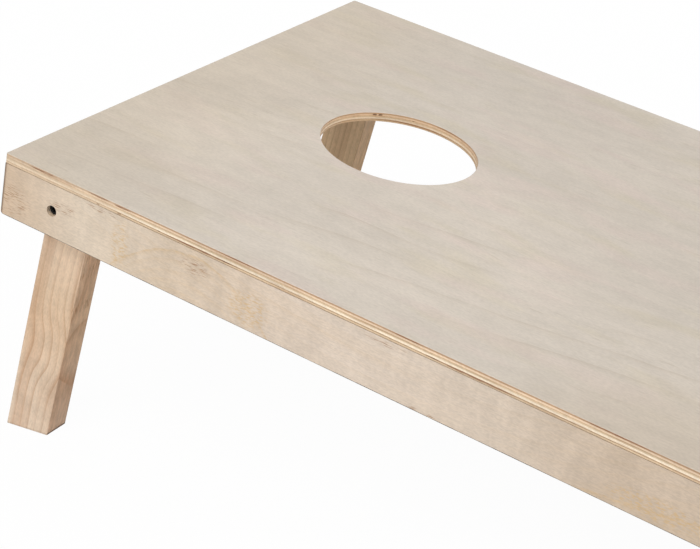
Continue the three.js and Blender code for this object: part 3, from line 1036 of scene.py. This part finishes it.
def thread(start, end, pitch, crest, root, steps=6):
    """Rings for a screw thread, as height and a radius that depends on the angle."""

    def radius_at(height):
        def radius(angle):
            turn = (height / pitch - angle / (2 * math.pi)) % 1.0
            return root + (crest - root) * min(1.0, 1.6 * (1 - abs(2 * turn - 1)))

        return radius

    count = round((end - start) / pitch * steps)
    heights = [start + (end - start) * step / count for step in range(count + 1)]
    return [(height, radius_at(height)) for height in heights]


def turned(rings, segments, is_ring=False, second=()):
    """A solid turned round z from rings of height and radius, in millimetres.

    It is closed at its ends, or into a ring. A radius may be a function of the angle. The strips of faces
    numbered in second get the second material."""
    bm = bmesh.new()
    loops = []
    for height, radius in rings:
        loop = []
        for i in range(segments):
            angle = 2 * math.pi * i / segments
            reach = (radius(angle) if callable(radius) else radius) * MM
            loop.append(bm.verts.new((reach * math.cos(angle), reach * math.sin(angle), height * MM)))
        loops.append(loop)
    pairs = list(zip(loops, loops[1:]))
    if is_ring:
        pairs.append((loops[-1], loops[0]))
    else:
        bm.faces.new(loops[0])
        bm.faces.new(loops[-1])
    for number, (near, far) in enumerate(pairs):
        for i in range(segments):
            face = bm.faces.new((near[i - 1], near[i], far[i], far[i - 1]))
            face.material_index = 1 if number in second else 0
    return bm


def bolt_rings(length):
    """A socket head cap screw: hexagon socket, knurled head, plain shank and thread."""
    hexagon = polygon(5.0, 6)

    def knurl(angle):
        return 4.98 if round(angle / (2 * math.pi) * TURNED_STEPS) % 2 else 4.84

    rings = [(3.3, 0.4), (3.0, hexagon), (0.25, hexagon), (0.0, 3.05), (0.0, 4.35), (0.1, 4.62), (0.3, 4.8)]
    rings += [(0.5, 4.88), (0.8, knurl), (5.0, knurl), (5.5, 4.9), (5.9, 4.85), (6.0, 4.7)]
    plain = length - 25
    rings += [(6.0, 3.15), (6.15, 3.0), (plain, 3.0)]
    return rings + thread(plain + 0.5, length - 0.7, 1.0, 3.0, 2.45) + [(length, 2.2)]


def washer_rings(thickness):
    """A stamped washer: one face is rolled over at its edges and the other is sharp."""
    rings = [(0.12, 3.22), (0.0, 3.35), (0.0, 8.6), (0.05, 8.82), (0.18, 8.95), (0.38, 9.0)]
    return rings + [(thickness - 0.08, 9.0), (thickness, 8.94), (thickness, 3.3), (thickness - 0.08, 3.22)]


def nut_rings():
    """A nylon insert lock nut: a chamfered hexagon, and a rolled collar that holds the insert."""
    hexagon = polygon(10.0, 6)

    def cone(rise):
        return lambda angle: min(hexagon(angle), 4.85 + 1.73 * rise)

    steps = [step / 10 for step in range(6)]
    rings = [(0.35, 3.2), (0.0, 3.55), (0.0, 4.6)] + [(rise, cone(rise)) for rise in steps]
    rings += [(4.6 - rise, cone(rise)) for rise in reversed(steps)]
    rings += [(4.65, 4.4), (5.3, 4.4), (5.7, 4.3), (5.92, 4.1), (6.0, 3.9), (5.96, 3.75), (5.8, 3.7)]
    return rings + [(5.8, 3.35), (5.6, 3.2), (4.6, 3.2)]


def screw_rings(length):
    """A pan head pocket screw: square recess, washer face, plain neck, coarse thread and a sharp point."""
    square = polygon(2.7, 4)
    rings = [(1.7, 0.3), (1.5, square), (0.2, square), (0.05, 2.0), (0.0, 2.2), (0.1, 2.75), (0.45, 3.35)]
    rings += [(1.0, 3.8), (1.5, 3.97), (1.75, 4.0), (2.45, 4.0), (2.6, 3.9), (2.6, 1.95), (2.8, 1.8)]
    neck = 0.3 * length
    tip = length - 4.0
    rings += [(neck, 1.75)] + thread(neck + 0.4, tip, 1.8, 2.1, 1.45, 8)
    return rings + [(tip + 1.5, 1.2), (length - 1.2, 0.6), (length, 0.08)]


def make_pivot_hardware(black, zinc, insert):
    for side, sign in zip(SIDES, (-1, 1)):
        make_bolt(side, sign, black)
        make_washer(side, sign, "spacer", zinc)
        make_washer(side, sign, "nut", zinc)
        make_lock_nut(side, sign, zinc, insert)


def length_across(node):
    """How long a piece on a leg's bolt is, in millimetres."""
    low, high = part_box(node)
    return (high.y - low.y) / MM


def make_bolt(side, sign, black):
    node = f"{side}_pivot_bolt"
    bm = turned(bolt_rings(length_across(node)), TURNED_STEPS)
    matrix = pivot_frame(node, side, sign)
    placed(f"{side}_socket_bolt", bm, matrix, "board", node, [black])


def make_washer(side, sign, kind, zinc):
    node = f"{side}_{kind}_washer"
    bm = turned(washer_rings(length_across(node)), TURNED_STEPS, is_ring=True)
    matrix = pivot_frame(node, side, sign)
    placed(f"{side}_{kind}_flat_washer", bm, matrix, "board", node, [zinc])


def make_lock_nut(side, sign, zinc, insert):
    node = f"{side}_lock_nut"
    rings = nut_rings()
    last = len(rings) - 1
    bm = turned(rings, TURNED_STEPS, is_ring=True, second=range(last - NUT_INSERT_STRIPS, last))
    matrix = pivot_frame(node, side, sign)
    placed(f"{side}_nylon_lock_nut", bm, matrix, "board", node, [zinc, insert])


def make_screws(zinc):
    for node in sorted(frame["nodes"]):
        if "screw" in node:
            matrix, length = screw_frame(node)
            bm = turned(screw_rings(length / MM), SCREW_STEPS)
            placed(f"{node}_zinc", bm, matrix, "board", node, [zinc])


# ---- Stage ----

CAMERA_AZIMUTH = 31.95
CAMERA_ELEVATION = 23.37
CAMERA_LENS = 92.17
CAMERA_SHIFT = 0.1  # how far right of the lens's axis the picture's middle lies, in picture widths
CAMERA_AIM = Vector((0.2822, -0.2988, 0.0))  # in the board's frame
CAMERA_DISTANCE = 1.4499
FLOOR_SIZE = 60
FLOOR_DEPTH = 0.2 * MM  # just under the feet, so that the two don't share a plane
FLOOR_COLOUR = (0.86, 0.86, 0.86, 1)
FLOOR_WHITENESS = 0.97
AMBIENT_COLOUR = (0.97, 0.985, 1.0, 1)
AMBIENT_STRENGTH = 0.46
SOFTBOX_SPREAD = math.radians(45)
# Each softbox: azimuth, elevation, strength and colour.
SOFTBOXES = {
    "key_light": (14, 50, 1.84, (1.0, 0.985, 0.96)),
    "fill_light": (112, 42, 0.80, (1.0, 0.99, 0.97)),
}


def direction(azimuth, elevation):
    """Towards a viewer at an azimuth and elevation, where azimuth 0 is out from the board's left side."""
    a, e = math.radians(azimuth), math.radians(elevation)
    return Vector((math.sin(a) * math.cos(e), -math.cos(a) * math.cos(e), math.sin(e)))


def make_camera():
    camera = bpy.data.objects.new("camera", bpy.data.cameras.new("camera"))
    bpy.context.scene.collection.objects.link(camera)
    back = direction(CAMERA_AZIMUTH, CAMERA_ELEVATION)
    level = (-back).to_track_quat("-Z", "Y").to_matrix().to_4x4()
    camera.matrix_world = Matrix.Translation(BOARD @ CAMERA_AIM + back * CAMERA_DISTANCE) @ level
    camera.data.lens = CAMERA_LENS
    camera.data.shift_x = CAMERA_SHIFT
    camera.data.clip_end = 100
    bpy.context.scene.camera = camera


def seen_as_white(nodes, links, lit, output, share):
    """Blends a surface or world with plain white light, by a share, where the camera sees it directly."""
    white = nodes.new("ShaderNodeEmission" if output == "Material Output" else "ShaderNodeBackground")
    white.inputs["Color"].default_value = (1, 1, 1, 1)
    path = nodes.new("ShaderNodeLightPath")
    amount = nodes.new("ShaderNodeMath")
    amount.operation = "MULTIPLY"
    amount.inputs[1].default_value = share
    links.new(path.outputs["Is Camera Ray"], amount.inputs[0])
    blend = nodes.new("ShaderNodeMixShader")
    links.new(amount.outputs[0], blend.inputs[0])
    links.new(lit.outputs[0], blend.inputs[1])
    links.new(white.outputs[0], blend.inputs[2])
    links.new(blend.outputs[0], nodes[output].inputs["Surface"])


def make_floor():
    bpy.ops.mesh.primitive_plane_add(size=FLOOR_SIZE, location=(0, 0, -FLOOR_DEPTH))
    floor = bpy.context.object
    floor.name = "floor"
    material = bpy.data.materials.new("floor_white")
    material.use_nodes = True
    nodes, links = material.node_tree.nodes, material.node_tree.links
    shader = nodes["Principled BSDF"]
    shader.inputs["Base Color"].default_value = FLOOR_COLOUR
    shader.inputs["Roughness"].default_value = 0.9
    seen_as_white(nodes, links, shader, "Material Output", FLOOR_WHITENESS)
    floor.data.materials.append(material)


def make_light():
    world = bpy.data.worlds.new("studio")
    bpy.context.scene.world = world
    world.use_nodes = True
    nodes, links = world.node_tree.nodes, world.node_tree.links
    ambient = nodes["Background"]
    ambient.inputs["Color"].default_value = AMBIENT_COLOUR
    ambient.inputs["Strength"].default_value = AMBIENT_STRENGTH
    seen_as_white(nodes, links, ambient, "World Output", 1.0)
    for name, (azimuth, elevation, strength, colour) in SOFTBOXES.items():
        light = bpy.data.objects.new(name, bpy.data.lights.new(name, "SUN"))
        bpy.context.scene.collection.objects.link(light)
        light.data.energy = strength
        light.data.angle = SOFTBOX_SPREAD
        light.data.color = colour
        light.rotation_mode = "QUATERNION"
        light.rotation_quaternion = direction(azimuth, elevation).to_track_quat("Z", "Y")


bpy.context.scene.view_settings.view_transform = "Standard"
make_camera()
make_light()
make_floor()
make_deck()
make_side_rails()
make_cross_members()
make_legs()
zinc_plate = metal("zinc_plate", srgb(214, 216, 218), srgb(176, 180, 186), 1.0, 0.26, 0.42)
black_oxide = metal("black_oxide", srgb(34, 34, 36), srgb(18, 18, 20), 0.6, 0.30, 0.46)
make_pivot_hardware(black_oxide, zinc_plate, nylon("nylon_insert"))
make_screws(zinc_plate)
